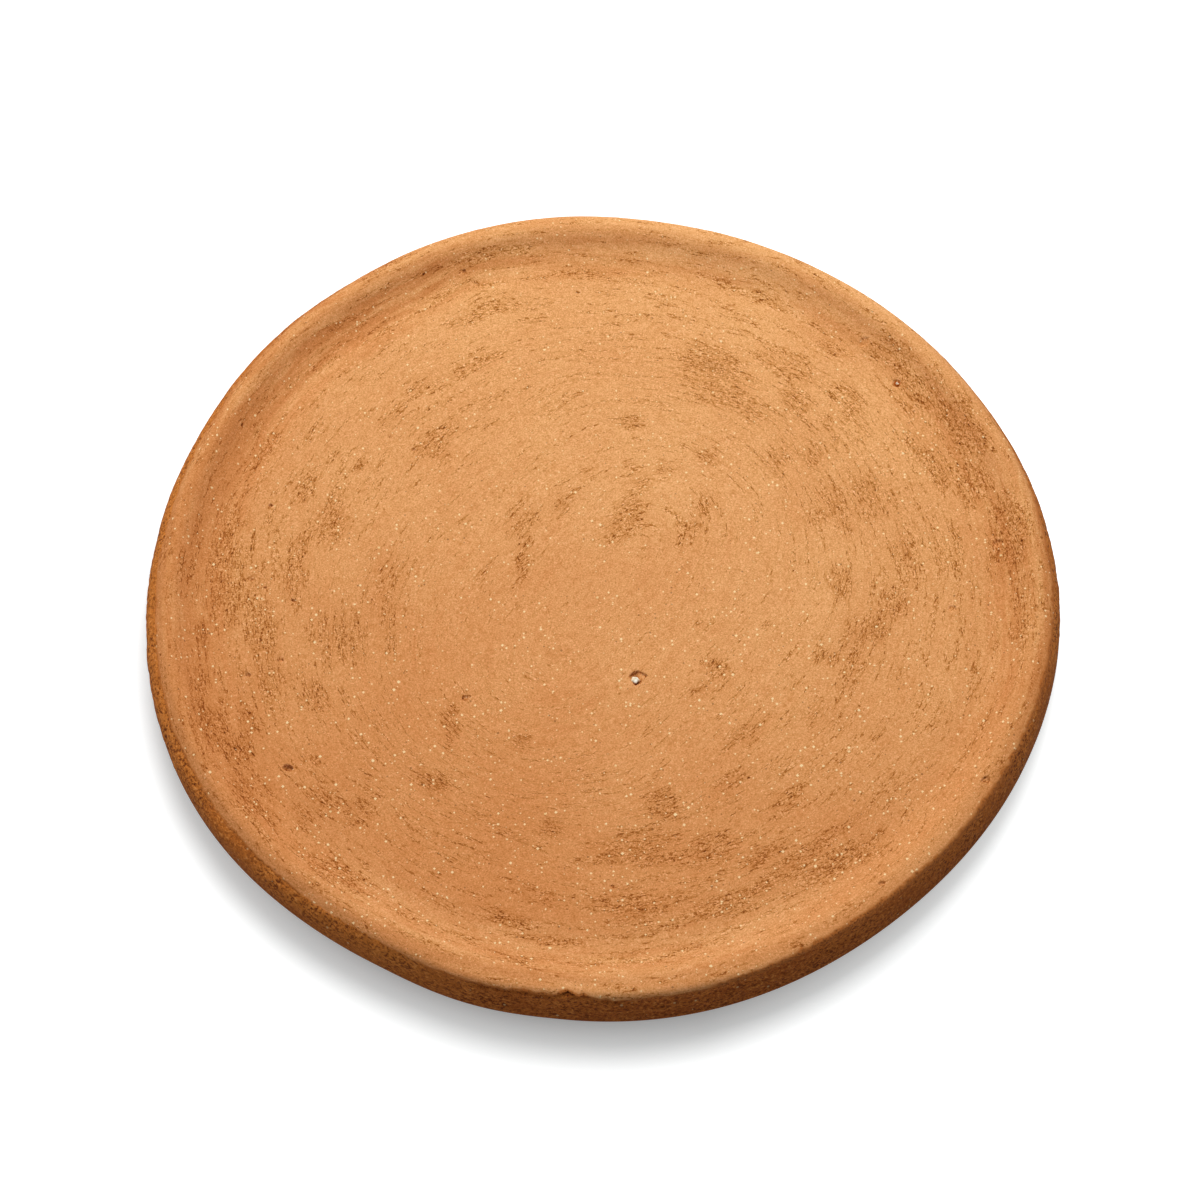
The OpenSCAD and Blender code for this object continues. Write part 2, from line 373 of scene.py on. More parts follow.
limePits = pits[:2]  # hold lime, as in the solids
pitForm = {
    "broad": 1.15,  # width from left to right by width from front to back
    "ragged": 0.6, "raggedCount": 1.8,  # share of the half width that the outline wanders, waves across a pit
    "wall": (0.6, 1.04), "tint": (0.75, 1.1),  # shares of the half width where wall and painted shade fade out
    "darkDepth": 0.4,  # depth by width of a pit whose painted shade is full
    "inClay": 1.3, "inSlip": 1.15,  # how much deeper it is in the pieces under the face
}
# How the slip was wiped, in mm. Layers of noise are (height, size, level).
wiping = {
    "warp": ((1.6, 9.0, 1.3), (0.8, 3.5, 5.1)), "warpWidth": 5.0,  # wander of strokes, full from this width
    "shortest": 1.0,  # half length
    "soft": 0.3, "softest": 1.5, "middleSoft": 0.8,  # softness by width, at most, and of the straight strokes
    "fade": (0.1, 1.9),  # by a stroke's half size
    "straight": (30.0, 100.0),  # long strokes inside the first distance, round ones past the second
    "way": 52.0, "narrow": 0.35,  # azimuth that the long strokes run along, their width by their length
    "sway": ((3.0, 26.0, 6.6),), "swell": ((0.22, 24.0, 0.4), (0.10, 8.0, 7.2)),
    "drag": 0.09, "dragLength": 16.0, "dragWidth": 2.6,
    "scrape": 0.1, "grit": 0.1, "gritSize": 1.9,  # of the bare places
    # bareness for the look; in the pits it runs past 1 and sets their painted shade
    "least": 0.14, "outer": 0.16, "outerSpan": (30.0, 95.0), "stroke": 0.76, "pit": 1.6,
}


def pitDip(r, azimuth):  # at each place: depth of the pits, how much painted shade a pit gives it, and if a pit is near
    x, y = toFlat(r, azimuth)
    dip, inside, about = np.zeros_like(r), np.zeros_like(r), np.zeros(len(r), bool)
    for distance, around, width, deep in pits:
        pitX, pitY = toFlat(distance, around)
        dx, dy = (x - pitX) / pitForm["broad"], y - pitY
        near = np.flatnonzero(np.hypot(dx, dy) < width)
        if len(near) == 0:
            continue
        about[near] = True
        dx, dy = dx[near], dy[near]
        waves = pitForm["raggedCount"] / width
        ragged = 1 + pitForm["ragged"] * noiseAt(dx * waves, dy * waves, distance)
        share = np.hypot(dx, dy) / (width / 2 * ragged)
        dark = min(1, deep / pitForm["darkDepth"])
        dip[near] = np.maximum(dip[near], width * deep * (1 - smooth(*pitForm["wall"], share)))
        inside[near] = np.maximum(inside[near], dark * (1 - smooth(*pitForm["tint"], share)))
    return dip, inside, about


def bareShare(r, azimuth):  # 0 where the slip is whole, to 1 where it is dragged off
    x, y = toFlat(r, azimuth)
    warp = layersAt(x, y, wiping["warp"])
    bare = np.zeros_like(r)
    for distance, first, last, width, strength in wipeStrokes:
        half = max(wiping["shortest"], math.radians(last - first) * distance / 2)
        soft = min(wiping["softest"], wiping["soft"] * width)
        along = np.abs(np.radians(turnFrom((first + last) / 2, azimuth))) * distance / half
        across = np.abs(r - distance + warp * min(1, width / wiping["warpWidth"])) / (width / 2 + soft)
        bare = np.maximum(bare, strength * (1 - smooth(*wiping["fade"], np.hypot(along, across))))
    for first, last, width, strength in middleStrokes:
        way = Vector(last) - Vector(first)
        half = way.length / 2
        way.normalize()
        dx, dy = x - (first[0] + last[0]) / 2, y - (first[1] + last[1]) / 2
        along = np.abs(dx * way.x + dy * way.y) / half
        across = np.abs(dx * way.y - dy * way.x + warp) / (width / 2 + wiping["middleSoft"])
        bare = np.maximum(bare, strength * (1 - smooth(*wiping["fade"], np.hypot(along, across))))
    return bare


def wipeAcross(r, azimuth, path):  # distance across the wiping strokes, in mm
    x, y = toFlat(r, azimuth - wiping["way"])
    shrink = wiping["narrow"] + (1 - wiping["narrow"]) * smooth(*wiping["straight"], r)
    return path / np.maximum(r, tiny) * np.hypot(y, shrink * x) + layersAt(x, y, wiping["sway"])


def wipedRelief(r, azimuth, path):  # height of the wiped face over the plain section, bareness, depth of pits
    x, y = toFlat(r, azimuth)
    bare = bareShare(r, azimuth)
    dip, inside, _ = pitDip(r, azimuth)
    across = wipeAcross(r, azimuth, path) / wiping["dragWidth"]
    drag = wiping["drag"] * noiseAt(x / wiping["dragLength"], y / wiping["dragLength"], across)
    grit = wiping["grit"] * noiseAt(x / wiping["gritSize"], y / wiping["gritSize"], path / wiping["gritSize"])
    relief = layersAt(x, y, wiping["swell"]) + drag - bare * (wiping["scrape"] + grit) - dip
    bare = wiping["stroke"] * bare + wiping["least"] + wiping["outer"] * smooth(*wiping["outerSpan"], r)
    return relief, np.maximum(bare, wiping["pit"] * inside), dip


def toLinear(colour):
    channels = [int(colour[i:i + 2], 16) / 255 for i in (1, 3, 5)]
    return [c / 12.92 if c <= 0.04045 else ((c + 0.055) / 1.055)**2.4 for c in channels] + [1]


def link(tree, source, socket):  # from a socket, or from a node's first output
    if isinstance(source, bpy.types.Node):
        source = next(output for output in source.outputs if output.enabled)
    tree.links.new(source, socket)


def addNode(tree, kind, settings):  # settings by property or socket; a node or socket as a value is linked
    node = tree.nodes.new("ShaderNode" + kind)
    for key, value in settings.items():
        if isinstance(value, (bpy.types.Node, bpy.types.NodeSocket)):
            link(tree, value, node.inputs[key])
        elif isinstance(key, int) or key in node.inputs:
            node.inputs[key].default_value = value
        else:
            setattr(node, key, value)
    return node


def perMetre(size):  # texture scale for a pattern of this size in mm
    return 1 / (size * mm)


def noiseOf(place, size, detail, rough=0.5):  # settings of a noise
    return {"Vector": place, "Scale": perMetre(size), "Detail": detail, "Roughness": rough}


def riseOver(value, low, high, most=1):  # settings of a range that fades in softly
    return {"interpolation_type": "SMOOTHSTEP", "Value": value,
            "From Min": low, "From Max": high, "To Max": most}


def mixOf(share, under, over):  # settings of a mix of colours, which has its colours in sockets 6 and 7
    return {"data_type": "RGBA", 0: share, 6: under, 7: over}


def mathOf(operation, *values):  # settings of a calculation
    return {"operation": operation, **dict(enumerate(values))}


def weighedSum(tree, start, weights, parts):  # start plus each named part times its weight
    total = start
    for name, weight in weights.items():
        total = addNode(tree, "Math", mathOf("MULTIPLY_ADD", parts[name], weight, total))
    return total


def newMaterial(name, roughness):
    material = bpy.data.materials.new(name)
    material.use_nodes = True
    shader = material.node_tree.nodes["Principled BSDF"]
    shader.inputs["Roughness"].default_value = roughness
    shader.inputs["IOR"].default_value = 1.5
    shader.inputs["Specular IOR Level"].default_value = 0.2  # porous, so it hardly shines
    return material, material.node_tree, shader


def giveSkin(tree, shader, colour, height, scale):  # colour, and bumps as high as the scale in mm
    bump = addNode(tree, "Bump", {"Strength": 1, "Distance": scale * mm, "Height": height})
    link(tree, colour, shader.inputs["Base Color"])
    link(tree, bump, shader.inputs["Normal"])


# Wiped earthenware slip: fine clay smeared on wet and burnt without glaze. Dead matt, orange buff,
# painted paler and yellower towards the back and right as painted light, with a sandy grain, cream and
# dark flecks of temper, and browner, gritty places with short dark dashes where the rag dragged it off.
wipedSlip = {
    # near and far: the colours between which painted light, painted slope shade and random tone are mixed
    "far": "#E6A96D", "near": "#D38B51", "pit": "#4A2206", "worn": "#BE6C2B", "wornHollow": "#7E410F",
    "roughness": 0.95,
    # size in mm, detail, roughness
    "noises": {
        "patch": (42, 3, 0.6), "clump": (14, 3, 0.6), "mottle": (2.2, 4, 0.65), "crumb": (0.7, 2, 0.6),
        "sand": (0.5, 3, 0.75),  # coarser than its 0.2 mm, or it would not show
    },
    # length along the wiping and width across it in mm, detail
    "streaks": {"band": (34, 3.2, 3), "wipe": (15, 1.9, 5), "contour": (6, 1.8, 2), "scratch": (1.4, 0.5, 3)},
    "streakRough": 0.68,
    # a start and weights of what a mark is made from, and the range over which it fades in
    "marks": {
        "bands": (0, {"band": 1}, (0.24, 0.76)),
        "bareShade": (-2.48, {"wipe": 3.0, "mottle": 1.2, "sand": 0.8, "bare": 1}, (0.3, 0.66)),
        "dash": (0.02, {"scratch": 1, "bareShade": 0.11}, (0.62, 0.68)),
        "dashCore": (0.02, {"scratch": 1, "bareShade": 0.11}, (0.7, 0.77)),
        "grit": (0, {"crumb": 1, "bareShade": 0.06}, (0.63, 0.72)),
        "lineField": (-0.5, {"bareShade": 0.5, "sand": 1.2}, (0.15, 0.45)),
        "clumps": (0, {"clump": 1}, (0.1, 0.65)),
        # painted shade in the pits, where the bareness runs past 1
        "pitShade": (0, {"bare": 1}, (1.05, 1.4, 0.2)),
        "wornGrains": (-1.7, {"worn": 1.4, "sand": 2.0, "mottle": 1.6}, (0.2, 0.6)),
        "wornField": (0, {"worn": 1}, (0.01, 0.2)),
        # hollows between the sand grains, which take painted shade where the slip is worn
        "sandHollow": (0, {"sand": 1}, (0.5, 0.34, 0.75)),
    },
    "products": {
        # painted slope shade, broken into streaks
        "slopeShadingStreak": ("slopeShading", "bands"),
        "coarse": ("bareShade", "sand"), "crumbs": ("bareShade", "scratch"),
        "wornShade": ("wornGrains", "wornField"), "wornHollow": ("wornShade", "sandHollow"),
    },
    "lineSpan": (0.03, 0.008), "wornMost": 0.85,
    "clumpsBy": {"From Min": -0.05, "From Max": 0.08, "To Min": 1.3, "To Max": 1},  # bigger flecks in front
    # colour, spacing and reach in mm, strength
    "flecks": {"paleFleck": ("#FFE4AE", 1.3, 0.58, 0.8), "darkFleck": ("#74401A", 1.7, 0.5, 0.6)},
    "fleckSizes": (0.5, 1.1), "fleckEdge": (-0.16, {"inFleck": 1, "sand": 0.32}), "fleckSpan": (0, 0.06),
    # painted light, paler to the back, nearer the lamp, and to the right; painted slope shade from the
    # streaks; random tone from the patch and wipe noises
    "lightAndTone": (-0.45, {"back": 3.6, "right": 1.2, "slopeShadingStreak": -1.6, "patch": 0.9, "wipe": 1}),
    # the slope streaks also darken the tone, as painted shade
    "tone": (0.12, {"wipe": 0.16, "mottle": 0.4, "sand": 1.2, "coarse": 0.6, "bareShade": -0.375,
                    "slopeShadingStreak": -0.12, "dash": -0.14, "dashCore": -0.28, "line": -0.38, "grit": 0.2}),
    "leastTone": 0.05, "burn": (1, 1.55, 2.7),  # powers in red, green and blue, so that it reddens
    # mm
    "height": (0, {"crumbs": -0.04, "bareShade": 0.03, "dash": -0.008, "grit": 0.012, "paleFleck": 0.02,
                   "darkFleck": -0.02, "line": -0.008, "sand": 0.12, "mottle": 0.1, "wornHollow": -0.25}),
}


def makeSlip(look):
    material, tree, shader = newMaterial("wiped_earthenware_slip", look["roughness"])
    place = addNode(tree, "TexCoord", {}).outputs["Object"]
    split = addNode(tree, "SeparateXYZ", {0: place})
    parts = {"right": split.outputs["X"], "back": split.outputs["Y"]}
    for name in ("bare", "across", "slopeShading", "worn"):  # numbers on the vertices
        parts[name] = addNode(tree, "Attribute", {"attribute_name": name}).outputs["Fac"]
    for name, sizes in look["noises"].items():
        parts[name] = addNode(tree, "TexNoise", noiseOf(place, *sizes))
    for name, (length, width, detail) in look["streaks"].items():
        run = perMetre(length)
        along = addNode(tree, "VectorMath", mathOf("MULTIPLY", place, (run, run, 0)))
        over = addNode(tree, "Math", mathOf("DIVIDE", parts["across"], width))
        lift = addNode(tree, "CombineXYZ", {"Z": over})
        spot = addNode(tree, "VectorMath", mathOf("ADD", along, lift))
        parts[name] = addNode(tree, "TexNoise", {"Vector": spot, "Scale": 1, "Detail": detail,
                                                 "Roughness": look["streakRough"]})
    for name, (start, weights, span) in look["marks"].items():
        field = weighedSum(tree, start, weights, parts)
        parts[name] = addNode(tree, "MapRange", riseOver(field, *span))
    for name, (one, other) in look["products"].items():
        parts[name] = addNode(tree, "Math", mathOf("MULTIPLY", parts[one], parts[other]))
    # drag lines: thin broken contours of a long streaky noise, in and about the bare places
    line = addNode(tree, "Math", mathOf("SUBTRACT", parts["contour"], 0.5))
    line = addNode(tree, "Math", mathOf("ABSOLUTE", line))
    line = addNode(tree, "MapRange", riseOver(line, *look["lineSpan"]))
    parts["line"] = addNode(tree, "Math", mathOf("MULTIPLY", line, parts["lineField"]))
    # painted light: paler and yellower to the back and right; painted shade and light on the slopes of the
    # cove and lip; and redder where it is darker
    lightAndTone = addNode(tree, "MapRange", {"Value": weighedSum(tree, *look["lightAndTone"], parts)})
    colour = addNode(tree, "Mix", mixOf(lightAndTone, toLinear(look["near"]), toLinear(look["far"])))
    tone = weighedSum(tree, *look["tone"], parts)
    tone = addNode(tree, "Math", mathOf("MAXIMUM", tone, look["leastTone"]))
    tones = [addNode(tree, "Math", mathOf("POWER", tone, power)) for power in look["burn"]]
    tone = addNode(tree, "CombineColor", dict(zip(("Red", "Green", "Blue"), tones)))
    colour = addNode(tree, "Mix", {"blend_type": "MULTIPLY", **mixOf(1, colour, tone)})
    # flecks of temper, each a cell with its own size and broken edges
    toFront = addNode(tree, "MapRange", {"Value": parts["back"], **look["clumpsBy"]})
    clumps = addNode(tree, "Math", mathOf("MULTIPLY", parts["clumps"], toFront))
    for name, (tint, spacing, reach, strength) in look["flecks"].items():
        cell = {"distance": "MANHATTAN", "Vector": place, "Scale": perMetre(spacing)}
        cell = addNode(tree, "TexVoronoi", cell)
        size = addNode(tree, "SeparateColor", {"Color": cell.outputs["Color"]})
        size = addNode(tree, "MapRange", riseOver(size, *look["fleckSizes"]))
        size = addNode(tree, "Math", mathOf("MULTIPLY", size, clumps))
        size = addNode(tree, "Math", mathOf("MULTIPLY", size, reach / spacing))
        parts["inFleck"] = addNode(tree, "Math", mathOf("SUBTRACT", size, cell.outputs["Distance"]))
        fleck = weighedSum(tree, *look["fleckEdge"], parts)
        parts[name] = addNode(tree, "MapRange", riseOver(fleck, *look["fleckSpan"]))
        share = addNode(tree, "Math", mathOf("MULTIPLY", parts[name], strength))
        colour = addNode(tree, "Mix", mixOf(share, colour, toLinear(tint)))
    # painted shade in the pits, and worn through to the clay towards the edge, grain by grain, with painted
    # shade in the hollows between the grains
    worn = addNode(tree, "Math", mathOf("MULTIPLY", parts["wornShade"], look["wornMost"]))
    for tint, share in (("pit", parts["pitShade"]), ("worn", worn), ("wornHollow", parts["wornHollow"])):
        colour = addNode(tree, "Mix", mixOf(share, colour, toLinear(look[tint])))
    giveSkin(tree, shader, colour, weighedSum(tree, *look["height"], parts), 1)
    return material


# Rough earthenware body: low-fired clay with sand temper, patted and left unwiped. Browner than the
# slip, sandy, with painted shade between the sand grains and painted highlights on them, painted shade
# towards the table, horizontal finger streaks on the rim and a few pale grains.
roughClay = {
    # hollow is painted shade between the sand grains and lit a painted highlight on them; smear is slip on
    # the wall, partly painted light
    "light": "#D47B32", "deep": "#AC5316", "smearAndLight": "#DA8334", "hollow": "#6E3006", "lit": "#E8984C",
    "grain": "#EBC48E", "roughness": 0.95,
    "patch": (14, 4),  # size in mm, detail
    # length round the plate and height in mm, detail, roughness; sand is drawn coarser than its 0.3 mm
    "drawn": {"streak": (16, 1.7, 3, 0.6), "sand": (1.1, 0.75, 5, 0.75)},
    "toneSpan": (0.7, 1.3),
    "lowest": 9, "highest": 19, "lowTone": 0.74, "lowLit": 0.45,  # painted shade towards the table, and fewer painted highlights
    "hollowSpan": (0.5, 0.41), "litSpan": (0.55, 0.63),  # painted shade between the sand grains, and painted highlights on them
    "clumps": {"From Min": 0.38, "From Max": 0.6, "To Min": 0.45},
    "grainSpacing": 3.0, "grainReach": 0.5, "grainSpan": {"From Max": 0.05, "To Max": 0.7},
    "height": (0, {"sand": 0.75, "streak": 0.3, "grain": 0.1}),  # mm
}


def makeClay(look):
    material, tree, shader = newMaterial("rough_earthenware", look["roughness"])
    place = addNode(tree, "TexCoord", {}).outputs["Object"]
    height = addNode(tree, "SeparateXYZ", {0: place}).outputs["Z"]
    smearAndLight = addNode(tree, "Attribute", {"attribute_name": "smearAndLight"}).outputs["Fac"]
    patch = addNode(tree, "TexNoise", noiseOf(place, *look["patch"]))
    parts = {}
    for name, (length, tall, detail, rough) in look["drawn"].items():
        scales = perMetre(length), perMetre(length), perMetre(tall)
        spot = addNode(tree, "VectorMath", mathOf("MULTIPLY", place, scales))
        parts[name] = addNode(tree, "TexNoise", {"Vector": spot, "Scale": 1, "Detail": detail,
                                                 "Roughness": rough})
    tone = addNode(tree, "Math", mathOf("ADD", patch, parts["streak"]))
    least, most = look["toneSpan"]
    tone = addNode(tree, "MapRange", {"Value": tone, "From Min": least, "From Max": most})
    colour = addNode(tree, "Mix", mixOf(tone, toLinear(look["deep"]), toLinear(look["light"])))
    # slip smeared on the wall, and painted light where the wall is lighter from the sides
    colour = addNode(tree, "Mix", mixOf(smearAndLight, colour, toLinear(look["smearAndLight"])))
    # painted shade: darker towards the table
    upWall = {"Value": height, "From Min": look["lowest"] * mm, "From Max": look["highest"] * mm}
    low = addNode(tree, "MapRange", {**upWall, "To Min": look["lowTone"]})
    colour = addNode(tree, "Mix", {"blend_type": "MULTIPLY", **mixOf(1, colour, low)})
    lit = addNode(tree, "MapRange", {**upWall, "To Min": look["lowLit"]})
    clumps = addNode(tree, "MapRange", {"Value": patch, **look["clumps"]})
    # painted shade between the sand grains, in clumps, and painted highlights on them, fewer towards the
    # table
    for tint, span, most in (("hollow", "hollowSpan", clumps), ("lit", "litSpan", lit)):
        share = addNode(tree, "MapRange", riseOver(parts["sand"], *look[span]))
        share = addNode(tree, "Math", mathOf("MULTIPLY", share, most))
        colour = addNode(tree, "Mix", mixOf(share, colour, toLinear(look[tint])))
    cell = addNode(tree, "TexVoronoi", {"Vector": place, "Scale": perMetre(look["grainSpacing"])})
    size = addNode(tree, "SeparateColor", {"Color": cell.outputs["Color"]})
    reach = look["grainReach"] / look["grainSpacing"]
    size = addNode(tree, "Math", mathOf("MULTIPLY", size, reach))
    grain = addNode(tree, "Math", mathOf("SUBTRACT", size, cell.outputs["Distance"]))
    parts["grain"] = addNode(tree, "MapRange", {"Value": grain, **look["grainSpan"]})
    colour = addNode(tree, "Mix", mixOf(parts["grain"], colour, toLinear(look["grain"])))
    giveSkin(tree, shader, colour, weighedSum(tree, *look["height"], parts), 1)
    return material


# Crushed calcite temper: pale angular mineral grains, dull, cream to buff from grain to grain.
# Burnt lime: chalk-white, soft and powdery, with a rough broken skin.
# Tones and skin are noises of some size in mm and detail, and the relief is in mm.
crushedCalcite = {"light": "#F9DFAE", "deep": "#EBC386", "roughness": 0.8,
                  "tones": (4.0, 2), "skin": (0.5, 3), "relief": 0.05}
burntLime = {"light": "#FFF8E8", "deep": "#F2DDB8", "roughness": 0.95,
             "tones": (1.2, 2), "skin": (0.4, 3), "relief": 0.12}


def makeMineral(name, look):
    material, tree, shader = newMaterial(name, look["roughness"])
    place = addNode(tree, "TexCoord", {}).outputs["Object"]
    tones = addNode(tree, "TexNoise", noiseOf(place, *look["tones"]))
    share = addNode(tree, "MapRange", {"Value": tones, "From Min": 0.35, "From Max": 0.65})
    colour = addNode(tree, "Mix", mixOf(share, toLinear(look["deep"]), toLinear(look["light"])))
    skin = addNode(tree, "TexNoise", noiseOf(place, *look["skin"]))
    giveSkin(tree, shader, colour, skin, look["relief"])
    return material


slipMaterial = makeSlip(wipedSlip)
clayMaterial = makeClay(roughClay)
print("materials made")


def joinPieces(pieces, name):
    bpy.ops.object.select_all(action="DESELECT")
    for piece in pieces:
        piece.select_set(True)
    bpy.context.view_layer.objects.active = pieces[0]
    bpy.ops.object.join()
    joined = bpy.context.object
    joined.name = joined.data.name = name
    return joined


def finishPiece(piece, material, node):
    piece.data.materials.clear()
    piece.data.materials.append(material)
    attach(piece, "root")
    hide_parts(node)
    faces = sum(len(p.vertices) - 2 for p in piece.data.polygons)
    print(piece.name, "made:", faces, "triangles")


# Patted slab: flat to rest on, belly, and a dished face that the slip covers
slab = {
    "steps": 480, "restCount": 20, "bellySpacing": 2.2, "scarfSteps": 6, "faceSpacing": 3.0,
    "pats": ((0.25, 16.0, 2.2), (0.12, 3.0, 4.4)),  # layers of noise: height and size in mm, level
    "flatMargin": 4.0, "patMargin": 14.0,  # they start inside the flat's edge and are full outside it
    "bellyEdge": 0.5,  # left plain, where the rim joins
}
scarfTop = faceCenter + (faceRadius + slipThick) * towards(faceEnd)
rest = [Vector((x, 0)) for x in np.linspace(0, restRadius, slab["restCount"])]
belly = arcPoints(bellyCenter, bellyRadius, -90, bellyEnd, slab["bellySpacing"])
scarf = [belly[-1].lerp(scarfTop, i / slab["scarfSteps"]) for i in range(1, slab["scarfSteps"])]
under = faceCurve(slipThick, slab["faceSpacing"])
claySlab = lathePiece("clay_slab_body", rest + belly + scarf + under[::-1], slab["steps"])
r, azimuth, z = readPolar(claySlab)
pastRest = np.maximum(r - restRadius, 0)
bellyHeight = bellyRadius - np.sqrt(np.maximum(bellyRadius**2 - pastRest**2, 0))
onBelly = (np.abs(z - bellyHeight) < hair / 2) & (r < belly[-1].x - slab["bellyEdge"])
pats = np.abs(layersAt(*toFlat(r, azimuth), slab["pats"]))
pats *= smooth(restRadius - slab["flatMargin"], restRadius + slab["patMargin"], r)
onFace = (z > topHeight(r) - slipThick - hair) & (r < footRadius - hair)
z = z + pats * onBelly - pitForm["inClay"] * pitDip(r, azimuth)[0] * onFace
r, z = unevenHand(r, azimuth, z)
writePolar(claySlab, r, azimuth, z)
finishPiece(claySlab, clayMaterial, "clay_slab")

# The slip's edge: how far it reaches down over the crest, in mm, torn short between two azimuths at the
# front, and how far its underside rises there. Ragged and nibble are heights of waves, more where it is torn.
slipEdge = {
    "usual": 4.5, "torn": 4.3, "tornFrom": 256.5, "tornTo": 272.0, "fade": 4,
    "ragged": 0.8, "raggedTorn": 1.3, "raggedLength": 14.0,
    "nibble": 0.7, "nibbleTorn": 0.6, "nibbleLength": 2.6,
    "thin": 0.74, "thinTorn": 0.4, "thinSpan": 1.6,
}
# How far inside it the coat is worn through: azimuth, mm
wornReach = ((200, 1.5), (250, 0.8), (280, 0.8), (298, 3.0), (340, 2.6))
# The clay wall is smeared with slip, most on the left, and the share is raised as painted light where a side
# light brightens the wall: azimuth, share
smearedAndLit = ((0, 0.6), (30, 1), (100, 1), (135, 0.8), (180, 0.8), (205, 0.5), (225, 0.5), (245, 0.8),
           (258, 0.2), (275, 0), (295, 0.2), (315, 0.35), (342, 0.5))


def edgeAt(azimuth):  # the slip's reach, and how torn it is
    torn = smooth(slipEdge["tornFrom"] - slipEdge["fade"], slipEdge["tornFrom"], azimuth)
    torn *= 1 - smooth(slipEdge["tornTo"], slipEdge["tornTo"] + slipEdge["fade"], azimuth)
    edge = slipEdge["usual"] + (slipEdge["torn"] - slipEdge["usual"]) * torn
    for name, level in (("ragged", 0.7), ("nibble", 8.1)):
        waves = slipEdge[name] * (1 + slipEdge[name + "Torn"] * torn)
        edge += waves * roundNoise(azimuth, slipEdge[name + "Length"], level)
    return edge, torn


def slipFloor(path, edge, torn):  # depth of the slip's underside, which runs out at the edge
    thin = slipEdge["thin"] + (slipEdge["thinTorn"] - slipEdge["thin"]) * torn
    return slipThick - thin * smooth(edge - slipEdge["thinSpan"], edge, path)


# Rolled coil: smeared down inside to the cove's foot, paddled upright and sandy outside
rim = {
    "steps": 1300, "sideSpacing": 0.5, "lipSpacing": 2.5, "scarfSteps": 6,
    "coveSpacing": 1000,  # as few points as can be, under the slip
    # height of the relief, and its size round the plate and upwards, in mm
    "lumps": (0.3, 7.0, 7.0), "grit": (0.24, 1.7, 1.7), "fingers": (0.25, 18.0, 2.2), "tornGrit": 0.8,
    "roughStart": 1.0, "roughEnd": (9.5, 15.0),  # from the slip's edge down the wall
    "backShare": 0.3, "backSpan": (60.0, -40.0),  # smoother at the back
    "creaseBelow": 0.7, "creaseDepth": 0.8, "creaseWidth": 0.5,  # under the torn edge
    "rebateSpan": 0.8, "smearAndLightLoss": 0.5, "smearAndLightSpan": (7.0, 15.0),
}
coilTop = innerCurve(slipThick, rim["coveSpacing"], rim["lipSpacing"])
coilTop = [scarfTop] + [p for p in coilTop if p.x > scarfTop.x + tiny]
coilSide = outerCurve(0, outerLength, rim["sideSpacing"])
coilBack = [coilSide[-1].lerp(scarfTop, (i + 1) / rim["scarfSteps"]) for i in range(rim["scarfSteps"])]
rimCoil = lathePiece("rim_coil_body", coilTop + coilSide + coilBack, rim["steps"])
r, azimuth, z = readPolar(rimCoil)
x, y = toFlat(r, azimuth)
ring = np.array([p.to_tuple(4) for p in coilSide])
gap = np.hypot(r[:, None] - ring[:, 0], z[:, None] - ring[:, 1])
onSide = gap.min(axis=1) < tiny
path = (gap.argmin(axis=1) + 1) * outerLength / len(coilSide)
_, _, normalR, normalZ = outerWay(path)
edge, torn = edgeAt(azimuth)
lumps, grit, fingers = (height * noiseAt(x / wide, y / wide, z / tall)
                        for height, wide, tall in (rim["lumps"], rim["grit"], rim["fingers"]))
rough = smooth(edge, edge + rim["roughStart"], path) * (1 - smooth(*rim["roughEnd"], path))
rough *= rim["backShare"] + (1 - rim["backShare"]) * smooth(*rim["backSpan"], y)
rise = (lumps + grit * (1 + rim["tornGrit"] * torn) + fingers) * rough
rise -= rim["creaseDepth"] * torn * np.exp(-((path - edge - rim["creaseBelow"]) / rim["creaseWidth"])**2)
rise -= slipFloor(np.minimum(path, edge), edge, torn) * (1 - smooth(edge, edge + rim["rebateSpan"], path))
rise = np.where(onSide, rise + shoulderRise(path, azimuth), 0)
r, z = r + rise * normalR, z + rise * normalZ
onCove = ~onSide & (r < crestCenter.x) & (z > topHeight(np.minimum(r, lipFoot)) - slipThick - hair)
z = z - pitForm["inClay"] * pitDip(r, azimuth)[0] * onCove
r, z = unevenHand(r, azimuth, z)
writePolar(rimCoil, r, azimuth, z)
# slip smear on the wall, partly painted light, less of it lower down
smearAndLight = tableAt(smearedAndLit, azimuth) * (1 - rim["smearAndLightLoss"] * smooth(*rim["smearAndLightSpan"], path))
storeValue(rimCoil, "smearAndLight", smearAndLight * onSide)
finishPiece(rimCoil, clayMaterial, "rim_coil")

# Wiped slip: over the face, the cove and the lip, down to a ragged edge that is torn at the front
slip = {
    "steps": 560, "spacing": 1.1, "lipSpacing": 0.8, "edgeSpacing": 0.6, "pitCuts": 4,
    "underSpacing": 7.0, "underLip": 3.0, "underEdge": 1.0,
    "feather": 0.04, "edgeSpan": 1.2, "calm": 0.7,  # sunk by this at the edge, with less relief
}
topSide = innerCurve(0, slip["spacing"], slip["lipSpacing"]) + outerCurve(0, slipLength, slip["edgeSpacing"])
underSide = innerCurve(slipThick, slip["underSpacing"], slip["underLip"])
underSide += outerCurve(slipThick, slipLength, slip["underEdge"])
slipCoat = lathePiece("slip_coat_skin", topSide + underSide[::-1], slip["steps"])
